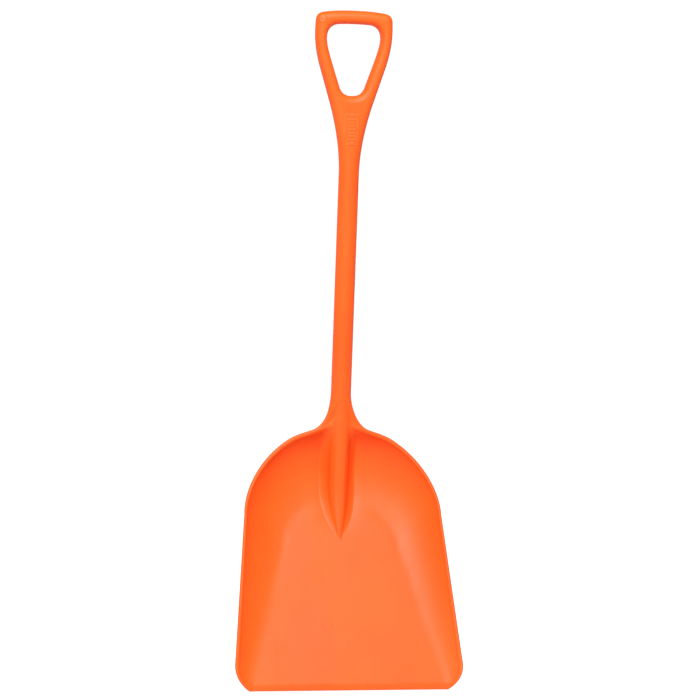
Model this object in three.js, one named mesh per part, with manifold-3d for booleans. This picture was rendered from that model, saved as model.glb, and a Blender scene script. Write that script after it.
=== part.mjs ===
// One-piece moulded scoop shovel with a D-grip. Millimetres, +Z up.
// Origin: middle of the underside of the crossbar, where the shovel hangs from a hook.
// +Z runs along the shaft towards the grip, the open side of the scoop faces -Y.
// The real shovel is a single moulding. Its functional sections are separate meshes here,
// cut face to face with a narrow gap.

import * as THREE from 'three';
import { LoftGeometry } from 'three/addons/geometries/LoftGeometry.js';
import { mergeVertices } from 'three/addons/utils/BufferGeometryUtils.js';
import Module from 'manifold-3d';

const wasm = await Module();
wasm.setup();

// Whole object
const GAP = 0.3;
const CROWN_TOP = 21.5;
const TIP_Z = -1020;
const SHAFT_R = 15.8;
const FAR = 400;

// Grip: a flat D-shaped ring with rounded edges
const GRIP_DEPTH = 27;
const GRIP_BEVEL = 8;
const GRIP_HALF_W = 61.2;
const CROWN_DROP = 2.8;
const CORNER_R = 13;
const ARM_WAIST = new THREE.Vector2(53.2, -62);
const OPENING_HALF_W = 42.7;
const OPENING_FLOOR_Z = -110.8;
const ARM_END_Z = -98;
const ARM_END_HALF_W = 41.8;
const ARM_END_INNER = 20;
const RING_FOOT = new THREE.Vector2(26.6, -148);
const MITRE_IN = new THREE.Vector2(36, -5);
const MITRE_OUT = new THREE.Vector2(57, 19);

// Handle below the grip
const YOKE_WAIST = new THREE.Vector2(34.2, -122);
const YOKE_END_Z = -228;
const NECK_START_Z = -575;
const NECK_WEB_BACK = -2;
const SPINE_JOINT_Z = -648;
const SPINE_PASSAGE_Z = -705;
const SPINE_NOSE_Z = -745;
const SPINE_END = new THREE.Vector2(-28.5, -798);

// Scoop: rim outline, flat floor inside the crease outline, curved walls between them
const ARCH_CENTRE_Z = -760;
const ARCH_A = 157;
const ARCH_B = 138;
const ARCH_POWER = 1.8;
const ARCH_PEAK_Z = -619.5;
const ARCH_SHOULDER_SLOPE = 0.312;
const ARCH_SHOULDER_SOFT = 3;
const NECK_JOIN_X = 46;
const RIM_FLARE_END = new THREE.Vector2(179.3, -979);
const RIM_CORNER = new THREE.Vector2(156, TIP_Z);
const CREASE_CENTRE_Z = -830;
const CREASE_A = 82.6;
const CREASE_B = 72;
const CREASE_FLARE_END = new THREE.Vector2(137, -979);
const CREASE_CORNER = new THREE.Vector2(152.5, TIP_Z);
const FLOOR_LIFT_DEG = 28.3;
const FLOOR_Y = -30;
const FLOOR_Z = -801;
const WALL_T = 4;
const RIM_LAND = 5;
const CREASE_SLOPE = 0.12;
const CREASE_SLOPE_START_Z = -720;
const CREASE_SLOPE_FULL_Z = -900;
const RIM_NECK_Y = -9.5;
const RIM_BEND_Z = -649;
const RIM_BEND_SOFT = 20;
const RIM_SLOPE = 0.404;
const LEAST_RIM_HEIGHT = 0.2;
const LIP_LENGTH = 12;
const LIP_EDGE_T = 1.6;

const lift = THREE.MathUtils.degToRad(FLOOR_LIFT_DEG);
const floorY = (z) => FLOOR_Y + (z - FLOOR_Z) * Math.tan(lift);
const WALL_T_Y = WALL_T / Math.cos(lift);

const orange = new THREE.MeshStandardMaterial({
  color: new THREE.Color(0xf26a2c), roughness: 0.5, metalness: 0,
});

// ---- helpers ----

function solid(geometry) {
  const plain = new THREE.BufferGeometry();
  plain.setAttribute('position', geometry.attributes.position);
  plain.setIndex(geometry.index);
  const merged = mergeVertices(plain, 1e-4);
  return new wasm.Manifold(new wasm.Mesh({
    numProp: 3,
    vertProperties: new Float32Array(merged.attributes.position.array),
    triVerts: new Uint32Array(merged.index.array),
  }));
}

function node(name, body) {
  const mesh = body.getMesh();
  const geometry = new THREE.BufferGeometry();
  geometry.setAttribute('position', new THREE.BufferAttribute(new Float32Array(mesh.vertProperties), 3));
  geometry.setIndex(new THREE.BufferAttribute(new Uint32Array(mesh.triVerts), 1));
  geometry.computeVertexNormals();
  const item = new THREE.Mesh(geometry, orange.clone());
  item.name = name;
  return item;
}

// A box between two corners, used to cut the moulding into its sections
function block(low, high) {
  const size = new THREE.Vector3().subVectors(high, low);
  const box = new THREE.BoxGeometry(size.x, size.y, size.z);
  box.translate(low.x + size.x / 2, low.y + size.y / 2, low.z + size.z / 2);
  return solid(box);
}

// A front-view shape made solid along Y, from yFront to yBack
function plate(shape, yFront, yBack, curveSegments = 24) {
  const geometry = new THREE.ExtrudeGeometry(shape, {
    depth: yBack - yFront, bevelEnabled: false, curveSegments,
  });
  geometry.rotateX(Math.PI / 2);
  geometry.translate(0, yBack, 0);
  return geometry;
}

// Horizontal superellipse ring around the Z axis, counterclockwise seen from above
function ring(z, halfX, halfY, power, count = 40) {
  const points = [];
  for (let i = 0; i < count; i++) {
    const a = (i / count) * 2 * Math.PI;
    const x = Math.sign(Math.cos(a)) * Math.abs(Math.cos(a)) ** (2 / power) * halfX;
    const y = Math.sign(Math.sin(a)) * Math.abs(Math.sin(a)) ** (2 / power) * halfY;
    points.push(new THREE.Vector3(x, y, z));
  }
  return points;
}

function loft(sections) {
  return solid(new LoftGeometry(sections, { capStart: true, capEnd: true }));
}

// ---- grip ----

function gripOutline() {
  const top = CROWN_TOP - CROWN_DROP;
  const shape = new THREE.Shape();
  shape.moveTo(0, CROWN_TOP);
  shape.quadraticCurveTo(-GRIP_HALF_W / 2, CROWN_TOP, -GRIP_HALF_W + CORNER_R, top);
  shape.quadraticCurveTo(-GRIP_HALF_W + 1, top - 1, -GRIP_HALF_W + 0.6, top - CORNER_R);
  shape.bezierCurveTo(-GRIP_HALF_W - 0.4, -18, -GRIP_HALF_W + 0.2, -34, -ARM_WAIST.x, ARM_WAIST.y);
  shape.lineTo(-ARM_END_HALF_W, ARM_END_Z);
  shape.lineTo(-RING_FOOT.x, RING_FOOT.y);
  shape.lineTo(RING_FOOT.x, RING_FOOT.y);
  shape.lineTo(ARM_END_HALF_W, ARM_END_Z);
  shape.lineTo(ARM_WAIST.x, ARM_WAIST.y);
  shape.bezierCurveTo(GRIP_HALF_W - 0.2, -34, GRIP_HALF_W + 0.4, -18, GRIP_HALF_W - 0.6, top - CORNER_R);
  shape.quadraticCurveTo(GRIP_HALF_W - 1, top - 1, GRIP_HALF_W - CORNER_R, top);
  shape.quadraticCurveTo(GRIP_HALF_W / 2, CROWN_TOP, 0, CROWN_TOP);
  return shape;
}

function gripOpening() {
  const w = OPENING_HALF_W;
  const hole = new THREE.Path();
  hole.moveTo(0, 0);
  hole.lineTo(22, -0.6);
  hole.bezierCurveTo(35, -1, w, -8, w, -22);
  hole.bezierCurveTo(w, -34, 36, -52, ARM_END_INNER, ARM_END_Z);
  hole.bezierCurveTo(16, -108, 9, OPENING_FLOOR_Z, 0, OPENING_FLOOR_Z);
  hole.bezierCurveTo(-9, OPENING_FLOOR_Z, -16, -108, -ARM_END_INNER, ARM_END_Z);
  hole.bezierCurveTo(-36, -52, -w, -34, -w, -22);
  hole.bezierCurveTo(-w, -8, -35, -1, -22, -0.6);
  hole.lineTo(0, 0);
  return hole;
}

function gripRing() {
  const shape = gripOutline();
  shape.holes.push(gripOpening());
  const geometry = new THREE.ExtrudeGeometry(shape, {
    depth: GRIP_DEPTH - 2 * GRIP_BEVEL, bevelThickness: GRIP_BEVEL, bevelSize: GRIP_BEVEL,
    bevelOffset: -GRIP_BEVEL, bevelSegments: 5, curveSegments: 10,
  });
  geometry.rotateX(Math.PI / 2);
  geometry.translate(0, GRIP_DEPTH / 2 - GRIP_BEVEL, 0);
  return solid(geometry);
}

// Everything above the slanted cut between the crossbar and one arm (side +1 or -1)
function mitre(side, shift) {
  const dir = new THREE.Vector2().subVectors(MITRE_OUT, MITRE_IN).normalize();
  const up = new THREE.Vector2(-dir.y, dir.x);
  const mid = MITRE_IN.clone().addScaledVector(up, shift);
  const corners = [
    mid.clone().addScaledVector(dir, -FAR / 10),
    mid.clone().addScaledVector(dir, FAR / 2),
    mid.clone().addScaledVector(dir, FAR / 2).addScaledVector(up, FAR),
    mid.clone().addScaledVector(dir, -FAR / 10).addScaledVector(up, FAR),
  ];
  if (side < 0) corners.forEach((c) => c.setX(-c.x));
  return solid(plate(new THREE.Shape(corners), -FAR, FAR));
}

function gripSections() {
  const ringBody = gripRing();
  const below = block(new THREE.Vector3(-FAR, -FAR, -FAR), new THREE.Vector3(FAR, FAR, ARM_END_Z));
  const crossbar = ringBody.intersect(mitre(1, GAP / 2)).intersect(mitre(-1, GAP / 2));
  const items = [node('grip_crossbar', crossbar)];
  [['grip_arm_right', 1], ['grip_arm_left', -1]].forEach(([name, side]) => {
    const half = block(
      new THREE.Vector3(side > 0 ? 0 : -FAR, -FAR, -FAR),
      new THREE.Vector3(side > 0 ? FAR : 0, FAR, FAR),
    );
    items.push(node(name, ringBody.intersect(half).subtract(mitre(side, -GAP / 2)).subtract(below)));
  });
  return items;
}

// ---- yoke and shaft ----

function yoke() {
  const top = new THREE.Vector2(ARM_END_HALF_W, ARM_END_Z - GAP);
  const side = new THREE.CubicBezierCurve(
    new THREE.Vector2(SHAFT_R, YOKE_END_Z), new THREE.Vector2(16.5, -185),
    new THREE.Vector2(26.8, -146), YOKE_WAIST,
  );
  const sections = [...side.getPoints(12), YOKE_WAIST.clone().lerp(top, 0.5), top].map((p) => {
    const t = THREE.MathUtils.smoothstep(p.y, YOKE_END_Z, top.y);
    return ring(p.y, p.x, THREE.MathUtils.lerp(SHAFT_R, GRIP_DEPTH / 2, t), 2 + 1.6 * t);
  });
  const cutter = solid(plate(new THREE.Shape(gripOpening().getPoints(12)), -FAR, FAR));
  return node('grip_yoke', loft(sections).subtract(cutter));
}

function shaft() {
  const top = YOKE_END_Z - GAP;
  return node('shaft', loft([ring(NECK_START_Z, SHAFT_R, SHAFT_R, 2), ring(top, SHAFT_R, SHAFT_R, 2)]));
}

// ---- scoop ----

// Point of a superelliptic arch, t from 0 at its left foot over the top to 1 at its right foot
function archPoint(a, b, cz, power, t) {
  const angle = Math.PI * (1 - t);
  const x = Math.sign(Math.cos(angle)) * Math.abs(Math.cos(angle)) ** (2 / power);
  return new THREE.Vector2(a * x, cz + b * Math.abs(Math.sin(angle)) ** (2 / power));
}

// The rim follows its arch; near the neck it rises in straight shoulders instead
function rimArch(t, grow = 0) {
  const p = archPoint(ARCH_A + grow, ARCH_B + grow, ARCH_CENTRE_Z, ARCH_POWER, t);
  const shoulder = ARCH_PEAK_Z + grow - ARCH_SHOULDER_SLOPE * Math.abs(p.x);
  const h = THREE.MathUtils.clamp(0.5 + (p.y - shoulder) / (2 * ARCH_SHOULDER_SOFT), 0, 1);
  return p.setY(THREE.MathUtils.lerp(p.y, shoulder, h) - ARCH_SHOULDER_SOFT * h * (1 - h));
}

const creaseArch = (t, grow = 0) => archPoint(CREASE_A + grow, CREASE_B + grow, CREASE_CENTRE_Z, 2, t);
const steps01 = (count) => Array.from({ length: count + 1 }, (_, i) => i / count);

function rimY(z) {
  const s = RIM_BEND_Z - z;
  return RIM_NECK_Y - RIM_SLOPE * 0.5 * (s + Math.sqrt(s * s + RIM_BEND_SOFT ** 2));
}

const rimHeight = (z) => floorY(z) - rimY(z);

// Closed section across a wall: up the back from crease to rim, over the land, down the inside
function wallSection(rim, crease, height, front = 0, back = 0) {
  const steps = 12;
  const dir = new THREE.Vector2().subVectors(rim, crease);
  const reach = dir.length();
  dir.normalize();
  const fade = THREE.MathUtils.smoothstep(rim.y, CREASE_SLOPE_FULL_Z, CREASE_SLOPE_START_Z);
  const slope = Math.min(CREASE_SLOPE * (1 - fade), (0.7 * height) / reach);
  const arc = (span, rise, s) => {
    const bent = rise - slope * span;
    const r = (span * span + bent * bent) / (2 * bent);
    return slope * s + r - Math.sqrt(Math.max(r * r - s * s, 0));
  };
  const point = (s, y) => {
    const p = crease.clone().addScaledVector(dir, s);
    return new THREE.Vector3(p.x, y(p.y), p.y);
  };
  const land = Math.min(RIM_LAND, reach * 0.4);
  const points = [];
  for (let i = 0; i <= steps; i++) {
    const s = (reach * i) / steps;
    const rise = arc(reach, height + WALL_T_Y, s);
    points.push(point(s, (z) => floorY(z) + WALL_T_Y - rise + back));
  }
  for (let i = steps; i >= 0; i--) {
    const s = ((reach - land) * i) / steps;
    const rise = arc(reach - land, height, s);
    points.push(point(s, (z) => floorY(z) - rise - front));
  }
  return points;
}

function heelBand(front, back) {
  return loft(steps01(44).map((t) => {
    const rim = rimArch(t);
    return wallSection(rim, creaseArch(t), rimHeight(rim.y), front, back);
  }));
}

function sideWall(side) {
  const drop = new THREE.Vector2(0, -GAP * Math.SQRT2);
  const rimTop = new THREE.Vector2(ARCH_A, ARCH_CENTRE_Z).add(drop);
  const creaseTop = new THREE.Vector2(CREASE_A, CREASE_CENTRE_Z).add(drop);
  const rimCorner = new THREE.CubicBezierCurve(
    RIM_FLARE_END, new THREE.Vector2(180, -991), new THREE.Vector2(175, -1006), RIM_CORNER,
  );
  const sections = [];
  const flare = 16;
  for (let i = 0; i < flare; i++) {
    const t = i / flare;
    const rim = rimTop.clone().lerp(RIM_FLARE_END, t);
    sections.push(wallSection(rim, creaseTop.clone().lerp(CREASE_FLARE_END, t), rimHeight(rim.y)));
  }
  const corner = 8;
  for (let i = 0; i <= corner; i++) {
    const t = i / corner;
    const height = Math.max(rimHeight(RIM_FLARE_END.y) * (1 - t * t), LEAST_RIM_HEIGHT);
    const crease = CREASE_FLARE_END.clone().lerp(CREASE_CORNER, t);
    sections.push(wallSection(rimCorner.getPoint(t), crease, height));
  }
  if (side > 0) return loft(sections);
  return loft(sections.map((points) => points.map((p) => p.setX(-p.x)).reverse()));
}

// Flat floor inside the crease, sheared so that it slopes at the floor's lift angle
function floorPlate(inset, yFront, yBack) {
  const shape = new THREE.Shape();
  shape.setFromPoints(steps01(44).map((t) => creaseArch(t, -inset)));
  shape.lineTo(CREASE_FLARE_END.x - inset, CREASE_FLARE_END.y);
  shape.lineTo(CREASE_CORNER.x - inset, TIP_Z);
  shape.lineTo(-CREASE_CORNER.x + inset, TIP_Z);
  shape.lineTo(-CREASE_FLARE_END.x + inset, CREASE_FLARE_END.y);
  const geometry = plate(shape, yFront, yBack);
  const shear = new THREE.Matrix4().set(
    1, 0, 0, 0,
    0, 1, Math.tan(lift), floorY(0),
    0, 0, 1, 0,
    0, 0, 0, 1,
  );
  return solid(geometry.applyMatrix4(shear));
}

// Wedge taken off the front of the leading edge
function lipCutter() {
  const front = floorY(TIP_Z);
  const shape = new THREE.Shape([
    new THREE.Vector2(front - FAR / 4, TIP_Z - 10),
    new THREE.Vector2(front - FAR / 4, TIP_Z + LIP_LENGTH),
    new THREE.Vector2(floorY(TIP_Z + LIP_LENGTH), TIP_Z + LIP_LENGTH),
    new THREE.Vector2(front + WALL_T_Y - LIP_EDGE_T, TIP_Z),
    new THREE.Vector2(front + WALL_T_Y - LIP_EDGE_T, TIP_Z - 10),
  ]);
  const geometry = new THREE.ExtrudeGeometry(shape, { depth: 2 * FAR, bevelEnabled: false });
  const turn = new THREE.Matrix4().set(
    0, 0, 1, -FAR,
    1, 0, 0, 0,
    0, 1, 0, 0,
    0, 0, 0, 1,
  );
  return solid(geometry.applyMatrix4(turn));
}

// ---- neck and spine ----

function neck() {
  const join = rimArch(1 - Math.acos((NECK_JOIN_X / ARCH_A) ** (ARCH_POWER / 2)) / Math.PI);
  const side = new THREE.CubicBezierCurve(
    new THREE.Vector2(SHAFT_R, NECK_START_Z - GAP), new THREE.Vector2(SHAFT_R + 0.4, -603),
    new THREE.Vector2(join.x - 18, join.y + 5.9), join,
  );
  const steps = 20;
  const sections = [];
  for (let i = steps; i >= 0; i--) {
    const t = i / steps;
    const p = side.getPoint(t);
    const thin = THREE.MathUtils.smoothstep(t, 0, 0.8);
    const back = THREE.MathUtils.lerp(SHAFT_R, NECK_WEB_BACK, thin);
    const half = (back - THREE.MathUtils.lerp(-SHAFT_R, rimY(p.y), thin)) / 2;
    sections.push(ring(p.y, p.x, half, 2 + t).map((q) => q.setY(q.y + back - half)));
  }
  const core = loft([
    ring(SPINE_JOINT_Z, SHAFT_R, SHAFT_R, 2),
    ring(NECK_START_Z - GAP, SHAFT_R, SHAFT_R, 2),
  ]);
  const arch = new THREE.Shape(steps01(44).map((t) => rimArch(t, GAP)));
  return node('neck', loft(sections).subtract(solid(plate(arch, -FAR, FAR))).add(core));
}

// Round rib in line with the shaft; its nose leans forward and narrows until it meets the floor
function spine(behind) {
  const sections = [];
  const steps = 12;
  for (let i = steps; i >= 0; i--) {
    const t = i / steps;
    const front = THREE.MathUtils.lerp(-SHAFT_R, SPINE_END.x, t);
    const halfX = SHAFT_R * Math.sqrt(1 - 0.96 * t * t);
    const z = THREE.MathUtils.lerp(SPINE_NOSE_Z, SPINE_END.y, t);
    sections.push(ring(z, halfX, SHAFT_R, 2).map((q) => q.setY(q.y + front + SHAFT_R)));
  }
  sections.push(ring(SPINE_JOINT_Z - GAP, SHAFT_R, SHAFT_R, 2));
  return node('spine', loft(sections).subtract(behind));
}

function scoopSections() {
  const room = SHAFT_R + GAP;
  const passage = loft([
    ring(SPINE_PASSAGE_Z - GAP, room, room, 2),
    ring(NECK_START_Z, room, room, 2),
  ]);
  const lowSide = block(new THREE.Vector3(-FAR, -FAR, -3 * FAR), new THREE.Vector3(FAR, FAR, SPINE_PASSAGE_Z));
  const behind = heelBand(GAP, 60).add(floorPlate(-0.5, -GAP, 60)).intersect(lowSide);
  return [
    neck(),
    spine(behind),
    node('blade_heel', heelBand(0, 0).subtract(passage)),
    node('blade_floor', floorPlate(GAP, 0, WALL_T_Y).subtract(lipCutter())),
    node('blade_wall_right', sideWall(1)),
    node('blade_wall_left', sideWall(-1)),
  ];
}

const shovel = new THREE.Group();
shovel.name = 'scoop_shovel';
shovel.add(...gripSections(), yoke(), shaft(), ...scoopSections());

export default shovel;
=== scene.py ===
import math

import bmesh
import bpy
import numpy as np
from mathutils import Matrix, Vector


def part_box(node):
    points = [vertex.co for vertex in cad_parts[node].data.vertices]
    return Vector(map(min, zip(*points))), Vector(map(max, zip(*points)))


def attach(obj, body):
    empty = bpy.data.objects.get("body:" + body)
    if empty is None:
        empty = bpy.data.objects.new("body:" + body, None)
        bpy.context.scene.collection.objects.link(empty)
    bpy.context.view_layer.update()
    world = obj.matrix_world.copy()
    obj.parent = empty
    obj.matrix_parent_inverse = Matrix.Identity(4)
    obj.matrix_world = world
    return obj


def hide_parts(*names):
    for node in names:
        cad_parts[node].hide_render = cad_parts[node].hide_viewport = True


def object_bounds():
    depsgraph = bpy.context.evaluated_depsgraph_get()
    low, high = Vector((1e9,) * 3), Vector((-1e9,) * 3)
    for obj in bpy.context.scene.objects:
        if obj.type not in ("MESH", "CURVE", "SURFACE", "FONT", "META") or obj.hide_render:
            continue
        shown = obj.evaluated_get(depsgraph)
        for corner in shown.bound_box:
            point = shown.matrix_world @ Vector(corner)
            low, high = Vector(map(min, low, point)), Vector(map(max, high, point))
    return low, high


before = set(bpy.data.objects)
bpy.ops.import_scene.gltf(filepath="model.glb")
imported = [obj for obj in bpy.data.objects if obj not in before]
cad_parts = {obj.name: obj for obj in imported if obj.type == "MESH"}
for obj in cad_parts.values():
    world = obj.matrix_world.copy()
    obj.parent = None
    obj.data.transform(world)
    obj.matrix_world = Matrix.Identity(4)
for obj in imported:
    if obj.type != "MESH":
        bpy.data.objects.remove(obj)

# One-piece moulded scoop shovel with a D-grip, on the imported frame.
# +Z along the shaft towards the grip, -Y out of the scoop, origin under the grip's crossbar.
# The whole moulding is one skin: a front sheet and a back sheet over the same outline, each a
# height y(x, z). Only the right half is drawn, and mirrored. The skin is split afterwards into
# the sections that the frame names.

CAD_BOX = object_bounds()
MM = 1000.0


def node_box(name):
    """Lowest and highest corner of a frame node, in millimetres."""
    low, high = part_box(name)
    return [c * MM for c in low], [c * MM for c in high]


# ---- driving dimensions, millimetres ----

# Whole shovel
CROWN_CLEARANCE = 0.5
CROWN_Z = CAD_BOX[1][2] * MM - CROWN_CLEARANCE
TIP_Z = CAD_BOX[0][2] * MM
HALF_W = CAD_BOX[1][0] * MM

# Shaft, with a fine line round it above the neck
SHAFT_R = node_box("shaft")[1][0]
YOKE_END_Z = node_box("shaft")[1][2]
NECK_TOP_Z = node_box("shaft")[0][2]
LINE_Z = -541.0
LINE_DEPTH = 0.010  # share of the radius

# Grip ring
GRIP_HALF_W = node_box("grip_arm_right")[1][0]
GRIP_HALF_DEPTH = node_box("grip_crossbar")[1][1]
GRIP_SPLIT_Z = node_box("grip_yoke")[1][2]
GRIP_JOIN_Z = -128.0
GRIP_ROUND = 12.5  # width over which the edges are rounded
GRIP_POWER = 2.25
GRIP_RIDGE_SOFT = 2.0
CROWN_DROP = 3.0  # fall of the crown towards its corners
CORNER_R = 14.0
ARM_WAIST = [53.2, -62.0]
ARM_HANDLES = [[GRIP_HALF_W + 0.6, -18.0], [GRIP_HALF_W, -34.0]]

# Opening of the grip: its top is almost straight, the rest are curves that run on from there
OPENING_HALF_W = 42.7
OPENING_FLOOR_Z = -110.8
OPENING_TOP = [[0.0, 0.0], [11.0, -0.15], [22.0, -0.6]]
OPENING_CORNER = [[22.0, -0.6], [35.0, -1.0], [OPENING_HALF_W, -8.0], [OPENING_HALF_W, -22.0]]
OPENING_SIDE = [[OPENING_HALF_W, -22.0], [OPENING_HALF_W, -34.0], [36.0, -52.0], [20.0, -98.0]]
OPENING_FOOT = [[20.0, -98.0], [16.0, -108.0], [9.0, OPENING_FLOOR_Z], [0.0, OPENING_FLOOR_Z]]

# Yoke, which turns from the grip's flat section to the shaft's round one
YOKE_WAIST = [34.2, -122.0]
YOKE_HANDLES = [[26.8, -146.0], [16.5, -185.0]]
YOKE_ROUND_Z = -135.0
YOKE_SHAFT_Z = -190.0

# Plain raised frame with bars on the yoke
EMBLEM_Z = -163.0
EMBLEM_HALF_W, EMBLEM_HALF_H = 11.0, 24.0
EMBLEM_PROUD = 0.4
BAR_PITCH = 5.2
BAR_LAST = 4
BAR_REACH, BAR_VARIATION = 4.7, 1.8

# Rings left by ejector pins, on the grip's left corner and on the scoop's floor:
# x, z, radius and height of each
PIN_MARKS = ((-52.0, 7.4, 5.2, 0.5), (-32.5, -926.5, 7.0, 0.35))

# Rim of the scoop: its outline seen from the front, and its line seen from the side
ARCH_A = node_box("blade_heel")[1][0]
ARCH_B = 138.0
ARCH_Z = -760.0
ARCH_POWER = 1.8
ARCH_PEAK_Z = -619.5
ARCH_SHOULDER = 0.312
ARCH_SOFT = 3.0
FLARE_END = np.array([HALF_W, -979.0])
CORNER_HANDLES = [[HALF_W + 0.7, -991.0], [175.0, -1006.0]]
CORNER_END = np.array([156.0, TIP_Z])
RIM_LAND = 5.0
LAND_CROWN = 0.5
RIM_T = 5.0
RIM_STEP = 1.3  # between the land and the wall inside it
RIM_ROUND = 2.5
RIM_TOP_Y = -9.5
RIM_BEND_Z = -649.0
RIM_BEND_SOFT = 20.0
RIM_SLOPE = 0.404
RIM_FILLET = 7.0

# Neck, with a web that sits back behind the rim's edge
NECK_JOIN_X = 46.0
NECK_FLARE_Z = -603.0
WEB_RECESS = 1.6
SHARP = 0.02  # blend of surfaces that meet in a sharp edge

# Floor and walls of the scoop
CREASE_A = 82.6
CREASE_B = 72.0
CREASE_Z = -830.0
CREASE_FLARE_END = np.array([137.0, FLARE_END[1]])
CREASE_CORNER = np.array([152.5, TIP_Z])
FAN_Z = -845.0  # middle of the fan of grid rays under the arch
FLOOR_LIFT = math.radians(28.3)
FLOOR_Y = -30.0
FLOOR_Z = -801.0
WALL_T = 4.0 / math.cos(FLOOR_LIFT)
WALL_KINK = 0.12  # slope with which the side walls leave the floor
WALL_FROM_Z, WALL_TO_Z = -720.0, -900.0  # where the heel's section turns into the side walls'
HEEL_FILLET, WALL_FILLET = 12.0, 7.0
HEEL_SOFT, WALL_SOFT = 8.0, 2.0  # blend of wall and land
LIP_LENGTH = 12.0
LIP_T = 1.8
LIP_MARGIN = 0.6  # past the wall's full thickness, where the bevel has run out
LIP_ROUND = 0.9

# Rib that carries the shaft on into the scoop, and the trough around it
SPINE_NOSE_Z = -725.0
SPINE_END_Z = -798.0
SPINE_FOOT = 29.0
SPINE_FILLET = 5.0
NOSE_FILLET = 2.5
NOSE_PROUD = 2.0
STEEP = 3.0  # slope of the sides of the rib and of the shaft's core
TROUGH_DEPTH = 7.0
TROUGH_HALF_W = 22.0
TROUGH_TOP_Z = -670.0
TROUGH_BEHIND = 0.6  # share of the trough that shows on the back
CORE_END_Z = -690.0  # below it the shaft's core sinks into the back
CORE_SLOPE = 0.8
BACK_FILLET = 8.0


# ---- small maths ----

def smooth_max(a, b, k):
    """The larger of two heights, blended over a difference of k either way."""
    h = np.clip(0.5 + 0.5 * (a - b) / k, 0.0, 1.0)
    return b * (1 - h) + a * h + k * h * (1 - h)


def smooth_min(a, b, k):
    return -smooth_max(-a, -b, k)


def smooth_step(a, b, v):
    t = np.clip((v - a) / (b - a), 0.0, 1.0)
    return t * t * (3 - 2 * t)


def mix(a, b, t):
    return a + (b - a) * t


def dome(t, power=2.0):
    """Rounded edge: 0 at the edge (t = 0), 1 and level from t = 1 on."""
    return (1 - (1 - np.clip(t, 0.0, 1.0)) ** power) ** (1 / power)


def bezier(points, t):
    """Bezier of any degree by de Casteljau, t an array, points (n, 2)."""
    p = [np.outer(np.ones_like(t), q) for q in np.asarray(points, float)]
    while len(p) > 1:
        p = [mix(a, b, t[:, None]) for a, b in zip(p, p[1:])]
    return p[0]


def distance(x, z, path):
    """Distance from each point to a polyline."""
    points = np.stack([x.ravel(), z.ravel()], 1)
    best = np.full(len(points), 1e9)
    for a, b in zip(path, path[1:]):
        ab = b - a
        t = np.clip(((points - a) @ ab) / max(ab @ ab, 1e-12), 0, 1)
        gap = points - a - t[:, None] * ab
        best = np.minimum(best, (gap * gap).sum(1))
    return np.sqrt(best).reshape(x.shape)


def mirrored(path):
    """A half outline that starts on the middle line, made whole from left to right."""
    left = path[::-1] * [-1, 1]
    return np.vstack([left[:-1], path])


def resample(path, count):
    """Points evenly spaced along a polyline."""
    run = np.concatenate([[0], np.cumsum(np.hypot(*np.diff(path, axis=0).T))])
    t = np.linspace(0, 1, count) * run[-1]
    return np.stack([np.interp(t, run, path[:, 0]), np.interp(t, run, path[:, 1])], 1)


def cut_path(path, start, end):
    """The stretch of a polyline between the points nearest to start and end."""
    dense = resample(path, 1200)
    i = np.argmin(((dense - start) ** 2).sum(1))
    j = np.argmin(((dense - end) ** 2).sum(1))
    return dense[i:j + 1]


# ---- grip and yoke ----

def grip_outer_half():
    """Outer outline, from the middle of the crown down the right arm to the shaft."""
    w, top = GRIP_HALF_W, CROWN_Z - CROWN_DROP
    t = np.linspace(0, 1, 24)
    crown = bezier([[0, CROWN_Z], [w / 2, CROWN_Z], [w - CORNER_R, top]], t)
    corner = bezier([crown[-1], [w - 1, top - 1], [w - 0.4, top - CORNER_R]], t)
    arm = bezier([corner[-1], *ARM_HANDLES, ARM_WAIST], t)
    yoke = bezier([YOKE_WAIST, *YOKE_HANDLES, [SHAFT_R, YOKE_END_Z]], np.linspace(0, 1, 60))
    return np.vstack([crown, corner[1:], arm[1:], yoke])


def grip_opening_half():
    """Outline of the opening, from the middle of its top down the right side to its bottom."""
    t = np.linspace(0, 1, 30)
    curves = [bezier(points, t)[1:] for points in (OPENING_CORNER, OPENING_SIDE, OPENING_FOOT)]
    return np.vstack([OPENING_TOP, *curves])


def yoke_half_width(outer, z):
    """Half the width of the lower arms and the yoke, at a height z."""
    low = outer[outer[:, 1] < ARM_WAIST[1] + 2]
    return np.interp(-z, -low[:, 1], low[:, 0])


def grip_half_depth(x, z, outer, opening):
    """Half the thickness of the grip and yoke in Y, from the distances to both outlines."""
    d_out = distance(np.abs(x), z, outer)
    d_in = distance(np.abs(x), z, opening)
    low = smooth_step(YOKE_ROUND_Z, YOKE_END_Z, z)
    width = smooth_min((d_in + d_out) / 2, mix(GRIP_ROUND, SHAFT_R, low), GRIP_RIDGE_SOFT)
    width = mix(width, SHAFT_R, smooth_step(YOKE_SHAFT_Z, YOKE_END_Z + 4, z))
    depth = mix(GRIP_HALF_DEPTH, SHAFT_R, low)
    return depth * dome(np.minimum(d_in, d_out) / width, mix(GRIP_POWER, 2.0, low))


def emblem(x, z):
    """Height of the frame and its short bars, which vary in length, on the front of the yoke."""
    across, along = np.abs(x), z - EMBLEM_Z
    outside = np.maximum(across - EMBLEM_HALF_W, np.abs(along) - EMBLEM_HALF_H)
    border = 1 - smooth_step(0.5, 1.3, np.abs(outside + 1.0))
    row = np.round(along / BAR_PITCH)
    reach = BAR_REACH + BAR_VARIATION * np.cos(row * 2.3)
    bar = 1 - smooth_step(0.9, 1.7, np.abs(along - row * BAR_PITCH))
    bar = bar * (1 - smooth_step(reach, reach + 0.8, across)) * (np.abs(row) <= BAR_LAST)
    return EMBLEM_PROUD * np.maximum(border, bar)


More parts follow.
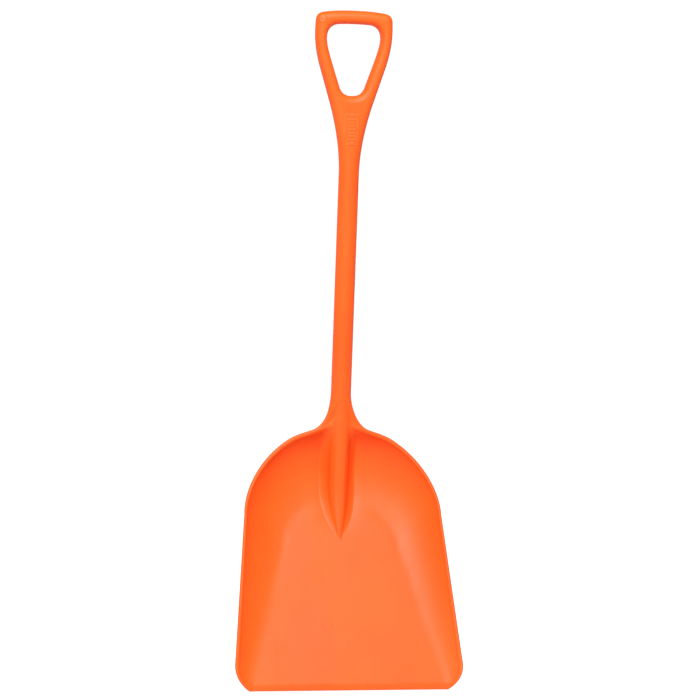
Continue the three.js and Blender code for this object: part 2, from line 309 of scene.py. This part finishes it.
def pin_marks(x, z):
    """Height of the rings left by ejector pins."""
    height = 0 * x
    for middle_x, middle_z, radius, proud in PIN_MARKS:
        off = np.abs(np.hypot(x - middle_x, z - middle_z) - radius)
        height = height + proud * (1 - smooth_step(0.4, 1.3, off))
    return height


# ---- scoop ----

def floor_y(z):
    return FLOOR_Y + (z - FLOOR_Z) * math.tan(FLOOR_LIFT)


def rim_y(z):
    """Front of the rim: level at the neck, then leaning forward with a soft bend."""
    below = RIM_BEND_Z - z
    return RIM_TOP_Y - RIM_SLOPE * 0.5 * (below + np.sqrt(below * below + RIM_BEND_SOFT ** 2))


def web_recess(d):
    """How far the web and the land sit back behind the rim's edge, d away from the outline."""
    return WEB_RECESS * smooth_step(4, 16, d)


def core(x):
    """Front of the round shaft core above the mid-plane; it drops off steeply beside it."""
    return np.sqrt(np.maximum(SHAFT_R ** 2 - x * x, 0)) - STEEP * np.maximum(np.abs(x) - SHAFT_R, 0)


def arch_angle(x):
    return np.arccos((x / ARCH_A) ** (ARCH_POWER / 2))


def arch_curve(angle):
    """The rim's arch, a superellipse whose top rises in straight shoulders to the neck."""
    x = ARCH_A * np.cos(angle) ** (2 / ARCH_POWER)
    z = ARCH_Z + ARCH_B * np.sin(angle) ** (2 / ARCH_POWER)
    return np.stack([x, smooth_min(z, ARCH_PEAK_Z - ARCH_SHOULDER * x, ARCH_SOFT)], 1)


def neck_edge(t):
    """Right edge of the neck, from the shaft down to the arch."""
    x, z = arch_curve(np.array([arch_angle(NECK_JOIN_X)]))[0]
    handles = [[SHAFT_R + 0.4, NECK_FLARE_Z], [x - 18, z + 5.9]]
    return bezier([[SHAFT_R, NECK_TOP_Z], *handles, [x, z]], t)


def corner_curve(t):
    """Rounded corner between the rim and the leading edge."""
    return bezier([FLARE_END, *CORNER_HANDLES, CORNER_END], t)


def outline_half():
    """Outline of neck and scoop, from the shaft down the right side to the tip corner."""
    neck = neck_edge(np.linspace(0, 1, 60))
    arch = arch_curve(np.linspace(arch_angle(NECK_JOIN_X), 0, 60))
    return np.vstack([neck, arch[1:], corner_curve(np.linspace(0, 1, 40))])


def arc_lift(span, rise, s, kink, fillet):
    """Height of a wall above the floor at a distance s from the crease: it leaves the floor with
    the slope kink, rounded by a fillet, bends up in an arc, reaches rise at span and runs on."""
    start = kink * (s - fillet * (1 - np.exp(-s / fillet)))
    bent = rise - kink * (span - fillet)
    r = (span * span + bent * bent) / (2 * bent)
    inside = np.clip(s, 0, span)
    slope = span / np.sqrt(np.maximum(r * r - span * span, 1e-6))
    return start + r - np.sqrt(np.maximum(r * r - inside ** 2, 0)) + np.maximum(s - span, 0) * slope


def add_spine(front, x, z):
    """Puts the rib on the scoop's front: a round ridge in line with the shaft, on a foot that is
    shaped like a bow. Its nose leans forward and narrows to a point where it meets the floor.
    Also says where the rib is."""
    nose = np.clip((SPINE_NOSE_Z - z) / (SPINE_NOSE_Z - SPINE_END_Z), 0, 1)
    ridge = mix(-SHAFT_R, floor_y(SPINE_END_Z) - NOSE_PROUD, nose ** 1.3)
    radius = SHAFT_R * (1 - 0.8 * nose ** 1.8)
    side = STEEP * np.maximum(np.abs(x) - radius, 0)
    rib = ridge + radius - np.sqrt(np.maximum(radius ** 2 - x * x, 0)) + side
    width = SPINE_FOOT * np.maximum(1 - nose ** 2, 1e-3) ** 0.6
    share = np.clip((width - np.abs(x)) / (width - np.minimum(radius, width) / 2), 0, 1)
    height = np.maximum(front - ridge - 2, 0) * smooth_step(0, 0.06, 1 - nose)
    foot = front - height * share ** 1.3
    on_rib = (share > 0.3) & (front > ridge)
    return smooth_min(foot, rib, mix(SPINE_FILLET, NOSE_FILLET, nose)), on_rib


def trough(x, z):
    """Shallow trough in the scoop around the rib, fading out below the neck and past the nose."""
    along = smooth_step(SPINE_END_Z - 8, SPINE_NOSE_Z - 15, z)
    along = along * (1 - smooth_step(TROUGH_TOP_Z - 40, TROUGH_TOP_Z, z))
    return TROUGH_DEPTH * along * np.exp(-(x / TROUGH_HALF_W) ** 2)


def scoop_rays():
    """Grid rays from the middle line over the crease to the rim, from the arch top to the tip:
    centre, crease and rim points, share of the rim's height that is kept, and the numbers of
    rays that end on the arch and under the neck."""
    near = np.concatenate([np.arange(0, 30, 1.0), np.linspace(30, NECK_JOIN_X, 28)])
    angle = np.linspace(arch_angle(NECK_JOIN_X), 0, 70)[1:]
    angle = np.concatenate([arch_angle(near), angle])
    crease = np.stack([CREASE_A * np.cos(angle), CREASE_Z + CREASE_B * np.sin(angle)], 1)
    centre = np.stack([0 * angle, 0 * angle + FAN_Z], 1)
    flare = np.linspace(0, 1, 92)[1:, None]
    last = 1 - np.array([0.03, 0.02, 0.013, 0.007, 0.003, 0])
    corner = np.concatenate([np.linspace(0, 0.96, 26)[1:], last])
    flare_middle, tip_middle = np.array([0, FLARE_END[1]]), np.array([0, TIP_Z])

    rim = np.vstack([arch_curve(angle), mix(np.array([ARCH_A, ARCH_Z]), FLARE_END, flare),
                     corner_curve(corner)])
    crease = np.vstack([crease, mix(np.array([CREASE_A, CREASE_Z]), CREASE_FLARE_END, flare),
                        mix(CREASE_FLARE_END, CREASE_CORNER, corner[:, None])])
    centre = np.vstack([centre, mix(np.array([0, FAN_Z]), flare_middle, flare),
                        mix(flare_middle, tip_middle, corner[:, None])])
    keep = np.ones(len(rim))
    keep[-len(corner):] = 1 - corner ** 2
    return centre, crease, rim, keep, len(angle), len(near)


# Distances from the outline of the grid columns that round the rim and shape its land
RIM_COLUMNS = np.array([0, 0.08, 0.3, 0.7, 1.2, 1.8, 2.5, 3.2, 3.8, 4.3, 4.7, 5.1, 5.5, 5.9, 6.3,
                        6.8, 7.4, 8.2, 9.2, 10.5])


def scoop_points(centre, crease, rim):
    """Grid points along the rays, their distance s from the crease (0 on the floor) and the
    crease's column."""
    span = rim - crease
    reach = np.hypot(*span.T)[:, None]
    edge = RIM_COLUMNS * np.minimum(1, reach / 26)
    from_rim = np.concatenate([edge, mix(edge[:, -1:], reach, np.linspace(0, 1, 46)[1:])], 1)
    s = reach - from_rim[:, ::-1]
    wall = crease[:, None] + span[:, None] * (s / reach)[..., None]
    floor = centre[:, None] + (crease - centre)[:, None] * np.linspace(0, 1, 56)[None, :-1, None]
    points = np.concatenate([floor, wall[:, 1:]], 1)
    crease_column = floor.shape[1] - 1
    points[:, crease_column] = crease
    s = np.concatenate([np.zeros((len(s), floor.shape[1])), s[:, 1:]], 1)
    return points[..., 0], points[..., 1], s, reach, crease_column


def scoop_grid(outline):
    """Scoop with rib, land, rounded rim and ground leading edge, as front and back heights."""
    centre, crease, rim, keep, arch_rays, neck_rays = scoop_rays()
    x, z, s, reach, crease_column = scoop_points(centre, crease, rim)

    # Floor, walls and the rim's land, seen from the front and from behind
    rim_z = rim[:, 1:]
    top = floor_y(FLARE_END[1]) - rim_y(FLARE_END[1])
    rise = np.where(keep[:, None] < 1, top * keep[:, None], floor_y(rim_z) - rim_y(rim_z))
    rise = np.maximum(rise, 0.2)
    land = np.minimum(RIM_LAND, reach * 0.4)
    d = distance(x, z, outline)
    land_y = rim_y(z) + floor_y(rim_z) - rise - rim_y(rim_z) + web_recess(d)
    crown = LAND_CROWN * (1 - np.clip(np.abs(reach - s - land / 2) / (land / 2), 0, 1) ** 2)
    down = 1 - smooth_step(WALL_TO_Z, WALL_FROM_Z, rim_z)
    kink = np.minimum(WALL_KINK * down, 0.75 * rise / reach)
    fillet = mix(HEEL_FILLET, WALL_FILLET, down)
    step = np.minimum(RIM_STEP, 0.2 * rise) * (1 - smooth_step(-2.4, -0.3, s - (reach - land)))
    low = trough(x, z)
    pan = floor_y(z) - arc_lift(reach - land, rise, s, kink, fillet)
    pan = pan + step * smooth_step(0, 20, s) + low
    soft = mix(HEEL_SOFT, WALL_SOFT, smooth_step(14, 60, rim[:, :1]))
    front = smooth_max(pan, land_y - crown, soft)
    shell = floor_y(z) + WALL_T - arc_lift(reach, rise + WALL_T, s, kink, fillet)
    back = smooth_max(shell + TROUGH_BEHIND * low, land_y + RIM_T, RIM_FILLET)
    front, spine = add_spine(front, x, z)
    back = smooth_max(back, core(x) - CORE_SLOPE * np.maximum(CORE_END_Z - z, 0), BACK_FILLET)

    # Leading edge: ground thin over its last stretch and rounded at the very end
    from_tip = z - TIP_Z
    thick = LIP_T + from_tip * (WALL_T + LIP_MARGIN - LIP_T) / LIP_LENGTH
    front = np.where(from_tip < 2 * LIP_LENGTH, smooth_max(front, back - thick, 0.5), front)
    tip = dome(from_tip / LIP_ROUND)
    middle = (front + back) / 2
    front, back = mix(middle, front, tip), mix(middle, back, tip)

    # Rim: rounded over to the back
    mid = land_y + RIM_T / 2
    near_tip = mix(middle, mid, np.clip(from_tip / LIP_LENGTH, 0, 1))
    mid = np.where(from_tip < LIP_LENGTH, near_tip, mid)
    rounded = dome(d / RIM_ROUND)
    front, back = mix(mid, front, rounded), mix(mid, back, rounded)
    front[neck_rays - 1:, -1] = mid[neck_rays - 1:, -1]
    back[neck_rays - 1:, -1] = mid[neck_rays - 1:, -1]
    return dict(x=x, z=z, front=front, back=back, spine=spine, arch_rays=arch_rays,
                neck_rays=neck_rays, crease_column=crease_column, rim=rim)


def neck_grid(outline, scoop, shaft, columns):
    """Neck between the shaft and the arch; its first row is the end of the shaft, its last row
    the arch of the scoop grid."""
    t = np.linspace(0, 1, 64)[:, None]
    arch = scoop["rim"][:scoop["neck_rays"]]
    share = arch[:, 0] / arch[-1, 0]
    side = neck_edge(t[:, 0])
    middle = np.stack([0 * t[:, 0], mix(NECK_TOP_Z, arch[0, 1], t[:, 0])], 1)
    s = mix(columns[None, :], share[None, :], smooth_step(0.5, 1.0, t))
    bow = arch - mix(arch[0][None], arch[-1][None], share[:, None])
    points = mix(middle[:, None], side[:, None], s[..., None]) + (t ** 3)[..., None] * bow[None]
    x, z = points[..., 0], points[..., 1]

    grow = 1 - smooth_step(arch[0, 1], NECK_TOP_Z - 4, z)
    mid = mix(0, rim_y(z) + RIM_T / 2, grow)
    half = mix(SHAFT_R, RIM_T / 2, grow)
    above = distance(x, z, mirrored(arch))
    back = smooth_max(mid + half, rim_y(z) - 2.0 * above, mix(SHARP, RIM_FILLET, grow))
    d = distance(x, z, outline)
    mid = mid + grow * web_recess(d)
    rounded = dome(d / mix(SHAFT_R, RIM_ROUND, grow ** 0.5))
    front = smooth_min(mid - half * rounded, -core(x), mix(SHARP, SPINE_FILLET, grow))
    back = smooth_max(mix(mid, back, rounded), core(x), mix(SHARP, BACK_FILLET, grow))
    front[:, -1] = mid[:, -1]
    back[:, -1] = mid[:, -1]
    fade = smooth_step(0.6, 1.0, t)
    for key, y in (("front", front), ("back", back)):
        y += fade * (scoop[key][:len(arch), -1] - y[-1])
        y[0] = shaft[key][-1]
    return dict(x=x, z=z, front=front, back=back)


def shaft_grid(columns):
    """Round shaft, with close rows at the fine line near its lower end."""
    line_rows = np.arange(LINE_Z + 4.5, LINE_Z - 4.1, -0.5)
    z = np.concatenate([np.linspace(YOKE_END_Z, LINE_Z + 5, 24), line_rows,
                        np.linspace(LINE_Z - 7, NECK_TOP_Z, 8)])
    x = SHAFT_R * np.repeat(columns[None, :], len(z), 0)
    z = np.repeat(z[:, None], len(columns), 1)
    depth = np.sqrt(np.maximum(SHAFT_R ** 2 - x * x, 0))
    depth = depth * (1 - LINE_DEPTH * (1 - smooth_step(0.4, 1.4, np.abs(z - LINE_Z))))
    return dict(x=x, z=z, front=-depth, back=depth)


def yoke_grid(outer, opening, columns):
    """Yoke, from the lower end of the grip ring to the shaft."""
    z = np.linspace(GRIP_JOIN_Z, YOKE_END_Z, 150)
    x = yoke_half_width(outer, z)[:, None] * columns[None, :]
    z = np.repeat(z[:, None], len(columns), 1)
    depth = grip_half_depth(x, z, outer, opening)
    depth[:, -1] = 0
    return dict(x=x, z=z, front=-depth - emblem(x, z) * (depth > 8), back=depth)


def grip_grid(outer, opening, columns):
    """The D-ring: rows run round it from the bottom of the opening to the middle of the crown,
    columns from the opening to the outside."""
    join = np.array([yoke_half_width(outer, GRIP_JOIN_Z), GRIP_JOIN_Z])
    outer, opening = outer[::-1], opening[::-1]
    # Points of the outer outline, each with the point of the opening that faces it
    pairs = [(join, [14.5, -106.5]), (ARM_WAIST, [35.8, -57.0]),
             ([GRIP_HALF_W, -16.0], [OPENING_HALF_W, -20.0]), ([56.5, 16.5], [36.5, -4.5]),
             ([0, CROWN_Z], [0, 0])]
    counts = [46, 40, 40, 80]
    inside = resample(cut_path(opening, [0, OPENING_FLOOR_Z], pairs[0][1]), 400)
    rows_in = [resample(inside, 400)[(columns * 399).astype(int)]]
    rows_out = [np.stack([join[0] * columns, 0 * columns + GRIP_JOIN_Z], 1)]
    for (from_out, from_in), (to_out, to_in), count in zip(pairs, pairs[1:], counts):
        rows_out.append(resample(cut_path(outer, from_out, to_out), count)[1:])
        rows_in.append(resample(cut_path(opening, from_in, to_in), count)[1:])
    rows_out, rows_in = np.vstack(rows_out), np.vstack(rows_in)
    across = (1 - np.cos(math.pi * np.linspace(0, 1, 37))) / 2
    points = mix(rows_in[:, None], rows_out[:, None], across[None, :, None])
    x, z = points[..., 0], points[..., 1]
    depth = grip_half_depth(x, z, outer, opening)
    depth[:, 0] = 0
    depth[len(columns) - 1:, -1] = 0
    return dict(x=x, z=z, front=-depth, back=depth)


# ---- the skin, and its division into pieces ----

MERGE_STEP = 0.002

# The cut between crossbar and arm: a slanting line through this point
CROSSBAR_CUT_X, CROSSBAR_CUT_Z = 36.0, -5.0
CROSSBAR_CUT_SLOPE = 1.143


class Skin:
    """Collects grids of one closed surface, with a section name for every cell."""

    def __init__(self):
        self.points, self.quads, self.names, self.count = [], [], [], 0

    def sheet(self, x, y, z, names):
        rows, cols = x.shape
        index = np.arange(rows * cols).reshape(rows, cols) + self.count
        quads = np.stack([index[:-1, :-1], index[:-1, 1:], index[1:, 1:], index[1:, :-1]], -1)
        self.points.append(np.stack([x.ravel(), y.ravel(), z.ravel()], 1))
        self.quads.append(quads.reshape(-1, 4))
        self.names.append(names.ravel())
        self.count += rows * cols

    def both_halves(self, grid, front_names, back_names):
        """Adds the right half and its mirror image, front and back."""
        for side, word in ((1, "right"), (-1, "left")):
            x, z = side * grid["x"], grid["z"]
            front = grid["front"] - pin_marks(x, z)
            for y, names in ((front, front_names), (grid["back"], back_names)):
                self.sheet(x, y, z, np.char.replace(names, "SIDE", word))

    def merged(self):
        """Points in metres, with those that coincide made one, the quads and their names."""
        points = np.vstack(self.points)
        keys = np.round(points / MERGE_STEP).astype(np.int64)
        _, first, back = np.unique(keys, axis=0, return_index=True, return_inverse=True)
        return points[first] / MM, back.ravel()[np.vstack(self.quads)], np.concatenate(self.names)


def cells(grid, name):
    """The same section name for every cell of a grid."""
    return np.full((grid["x"].shape[0] - 1, grid["x"].shape[1] - 1), name, dtype="U24")


def cell_middle(a):
    return (a[:-1, :-1] + a[1:, :-1] + a[:-1, 1:] + a[1:, 1:]) / 4


def build_skin():
    outer, opening, outline = grip_outer_half(), grip_opening_half(), outline_half()
    skin = Skin()
    scoop = scoop_grid(outline)
    columns = np.sin(math.pi / 2 * np.linspace(0, 1, scoop["neck_rays"]))

    grip = grip_grid(outer, opening, columns)
    names = cells(grip, "grip_arm_SIDE")
    x, z = cell_middle(grip["x"]), cell_middle(grip["z"])
    names[z < GRIP_SPLIT_Z] = "grip_yoke"
    names[z - CROSSBAR_CUT_Z > (x - CROSSBAR_CUT_X) * CROSSBAR_CUT_SLOPE] = "grip_crossbar"
    skin.both_halves(grip, names, names)

    shaft = shaft_grid(columns)
    plain = {"grip_yoke": yoke_grid(outer, opening, columns), "shaft": shaft,
             "neck": neck_grid(outline, scoop, shaft, columns)}
    for name, grid in plain.items():
        skin.both_halves(grid, cells(grid, name), cells(grid, name))

    names = cells(scoop, "blade_floor")
    names[:, scoop["crease_column"]:] = "blade_wall_SIDE"
    names[:scoop["arch_rays"] - 1, scoop["crease_column"]:] = "blade_heel"
    front_names = names.copy()
    front_names[cell_middle(scoop["spine"].astype(float)) > 0.5] = "spine"
    skin.both_halves(scoop, front_names, names)
    return skin.merged()


def closed_ring(quad):
    """A quad's corners with repeated ones dropped; nothing if less than a triangle is left."""
    ring = [v for i, v in enumerate(quad) if v != quad[i - 1]]
    return ring if len(set(ring)) == len(ring) and len(ring) > 2 else None


def faces_and_normals(points, rings):
    """Faces of the whole skin turned outwards, and its smooth normal at every point."""
    whole = bpy.data.meshes.new("whole")
    whole.from_pydata(points.tolist(), [], rings)
    bm = bmesh.new()
    bm.from_mesh(whole)
    bmesh.ops.recalc_face_normals(bm, faces=bm.faces)
    bm.normal_update()
    normals = np.array([v.normal[:] for v in bm.verts])
    faces = [[v.index for v in f.verts] for f in bm.faces]
    bm.free()
    bpy.data.meshes.remove(whole)
    return faces, normals


def make_pieces(material):
    """Cuts the skin into one mesh for each section; the normals of the whole skin go along, so
    that no seam shows."""
    points, quads, names = build_skin()
    rings = [closed_ring(quad) for quad in quads.tolist()]
    section = names[[i for i, ring in enumerate(rings) if ring]]
    faces, normals = faces_and_normals(points, [ring for ring in rings if ring])
    for name in sorted(set(section.tolist())):
        own = [faces[i] for i in np.nonzero(section == name)[0]]
        used = sorted({v for face in own for v in face})
        place = {v: i for i, v in enumerate(used)}
        mesh = bpy.data.meshes.new(name + "_skin")
        mesh.from_pydata(points[used].tolist(), [], [[place[v] for v in face] for face in own])
        mesh.shade_smooth()
        mesh.normals_split_custom_set_from_vertices(normals[used].tolist())
        piece = bpy.data.objects.new(name + "_skin", mesh)
        bpy.context.scene.collection.objects.link(piece)
        piece.data.materials.append(material)
        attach(piece, "root")
        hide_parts(name)


# ---- material ----

BASE_DARK = (0.80, 0.073, 0.0045, 1)
BASE_LIGHT = (0.83, 0.084, 0.0060, 1)
PALE_FLECK = (0.86, 0.120, 0.015, 1)


def map_range(nodes, links, value, source, target):
    """Node that takes a value from one range to another, held within it."""
    node = nodes.new("ShaderNodeMapRange")
    for key, number in zip(("From Min", "From Max", "To Min", "To Max"), (*source, *target)):
        node.inputs[key].default_value = number
    links.new(value, node.inputs["Value"])
    return node.outputs["Result"]


def maths(nodes, links, operation, *values):
    node = nodes.new("ShaderNodeMath")
    node.operation = operation
    for value, socket in zip(values, node.inputs):
        links.new(value, socket)
    return node.outputs[0]


def polypropylene():
    """Satin orange polypropylene: slight flow mottling, fine moulded grain, soft scuffs."""
    mat = bpy.data.materials.new("orange_polypropylene")
    mat.use_nodes = True
    nodes, links = mat.node_tree.nodes, mat.node_tree.links
    shader = nodes["Principled BSDF"]
    coords = nodes.new("ShaderNodeTexCoord")

    def noise(scale, detail, roughness, stretch=(1, 1, 1)):
        place = nodes.new("ShaderNodeMapping")
        place.inputs["Scale"].default_value = stretch
        links.new(coords.outputs["Object"], place.inputs["Vector"])
        tex = nodes.new("ShaderNodeTexNoise")
        tex.inputs["Scale"].default_value = scale
        tex.inputs["Detail"].default_value = detail
        tex.inputs["Roughness"].default_value = roughness
        links.new(place.outputs["Vector"], tex.inputs["Vector"])
        return tex.outputs["Fac"]

    def blend(factor, a, b):
        node = nodes.new("ShaderNodeMix")
        node.data_type = "RGBA"
        for key, value in (("Factor", factor), ("A", a), ("B", b)):
            if hasattr(value, "links"):
                links.new(value, node.inputs[key])
            else:
                node.inputs[key].default_value = value
        return node.outputs["Result"]

    def bump(height, strength, depth):
        node = nodes.new("ShaderNodeBump")
        node.inputs["Strength"].default_value = strength
        node.inputs["Distance"].default_value = depth
        links.new(height, node.inputs["Height"])
        return node

    cloud = noise(9, 4, 0.55, (1, 1, 0.55))
    fleck = map_range(nodes, links, noise(160, 3, 0.6), (0.62, 0.8), (0, 0.25))
    colour = blend(map_range(nodes, links, cloud, (0.35, 0.65), (0, 1)), BASE_DARK, BASE_LIGHT)
    links.new(blend(fleck, colour, PALE_FLECK), shader.inputs["Base Color"])

    scuff = map_range(nodes, links, noise(40, 6, 0.7, (1, 1, 0.12)), (0.55, 0.75), (0, 0.12))
    satin = map_range(nodes, links, cloud, (0.3, 0.7), (0.50, 0.57))
    links.new(maths(nodes, links, "ADD", satin, scuff), shader.inputs["Roughness"])

    grain = bump(noise(900, 2, 0.5), 0.10, 0.0004)
    wave = bump(noise(22, 2, 0.4), 0.25, 0.002)
    links.new(grain.outputs["Normal"], wave.inputs["Normal"])
    links.new(wave.outputs["Normal"], shader.inputs["Normal"])
    shader.inputs["Subsurface Weight"].default_value = 0.05
    shader.inputs["Subsurface Radius"].default_value = (1.0, 0.35, 0.12)
    shader.inputs["Subsurface Scale"].default_value = 0.006
    shader.inputs["Specular IOR Level"].default_value = 0.24
    return mat


# ---- stage, light and camera: metres and watts ----

STAGE_R = 2.5
STAGE_GAP = 0.04
GLOW_FROM_Y, GLOW_TO_Y = -0.60, -0.10
KEY_PLACE, KEY_AIM = (-0.7, -2.3, 1.9), (0, 0, -0.7)
KEY_SIZE = 1.2
KEY_POWER = 256
CAMERA_AZIMUTH, CAMERA_ELEVATION, CAMERA_ROLL = (math.radians(v) for v in (-12, 6, 2.068))
CAMERA_DISTANCE = 4.5
CAMERA_TARGET = Vector((0.01208, 0, -0.50798))
CAMERA_LENS = 147.4


def pale_floor():
    """Round pale floor, lit up behind the object so that it reads as white paper there."""
    mat = bpy.data.materials.new("white_paper")
    mat.use_nodes = True
    nodes, links = mat.node_tree.nodes, mat.node_tree.links
    shader = nodes["Principled BSDF"]
    shader.inputs["Base Color"].default_value = (0.45, 0.45, 0.45, 1)
    shader.inputs["Roughness"].default_value = 0.9
    shader.inputs["Emission Color"].default_value = (1, 1, 1, 1)
    place = nodes.new("ShaderNodeSeparateXYZ")
    links.new(nodes.new("ShaderNodeTexCoord").outputs["Object"], place.inputs["Vector"])
    glow = map_range(nodes, links, place.outputs["Y"], (GLOW_FROM_Y, GLOW_TO_Y), (0.0, 0.95))
    links.new(glow, shader.inputs["Emission Strength"])

    floor_z = CAD_BOX[0][2] - STAGE_GAP
    angles = np.linspace(0, 2 * math.pi, 97)[:-1]
    ring = [(STAGE_R * math.cos(a), STAGE_R * math.sin(a), floor_z) for a in angles]
    mesh = bpy.data.meshes.new("floor")
    mesh.from_pydata(ring, [], [list(range(len(ring)))])
    floor = bpy.data.objects.new("floor", mesh)
    floor.data.materials.append(mat)
    bpy.context.scene.collection.objects.link(floor)


def lights():
    """White surroundings, brightest in a band around the horizon behind the object, and one
    large soft lamp from the upper left."""
    world = bpy.data.worlds.new("studio")
    bpy.context.scene.world = world
    world.use_nodes = True
    nodes, links = world.node_tree.nodes, world.node_tree.links
    direction = nodes.new("ShaderNodeSeparateXYZ")
    links.new(nodes.new("ShaderNodeTexCoord").outputs["Generated"], direction.inputs["Vector"])
    height = maths(nodes, links, "ABSOLUTE", direction.outputs["Z"])
    band = map_range(nodes, links, height, (0.26, 0.50), (1.05, 0.08))
    behind = map_range(nodes, links, direction.outputs["Y"], (0.45, 0.85), (0.35, 1.0))
    glow = maths(nodes, links, "MULTIPLY", band, behind)
    links.new(glow, nodes["Background"].inputs["Strength"])
    nodes["Background"].inputs["Color"].default_value = (1, 1, 1, 1)

    data = bpy.data.lights.new("key", "AREA")
    data.size = KEY_SIZE
    data.energy = KEY_POWER
    lamp = bpy.data.objects.new("key", data)
    lamp.location = KEY_PLACE
    towards = Vector(KEY_AIM) - Vector(KEY_PLACE)
    lamp.rotation_euler = towards.to_track_quat("-Z", "Y").to_euler()
    bpy.context.scene.collection.objects.link(lamp)


def camera():
    """The photograph's camera: left of the middle, a little above, turned slightly."""
    level = math.cos(CAMERA_ELEVATION)
    back = Vector((math.sin(CAMERA_AZIMUTH) * level, -math.cos(CAMERA_AZIMUTH) * level,
                   math.sin(CAMERA_ELEVATION)))
    right = (-back).cross(Vector((0, 0, 1))).normalized()
    up = right.cross(-back)
    turned_right = right * math.cos(CAMERA_ROLL) + up * math.sin(CAMERA_ROLL)
    turned_up = up * math.cos(CAMERA_ROLL) - right * math.sin(CAMERA_ROLL)
    data = bpy.data.cameras.new("camera")
    data.sensor_width = 36
    data.lens = CAMERA_LENS
    view = bpy.data.objects.new("camera", data)
    place = Matrix.Translation(CAMERA_TARGET + back * CAMERA_DISTANCE)
    view.matrix_world = place @ Matrix((turned_right, turned_up, back)).transposed().to_4x4()
    bpy.context.scene.collection.objects.link(view)
    bpy.context.scene.camera = view


camera()
bpy.context.scene.view_settings.view_transform = "Standard"
pale_floor()
lights()
make_pieces(polypropylene())
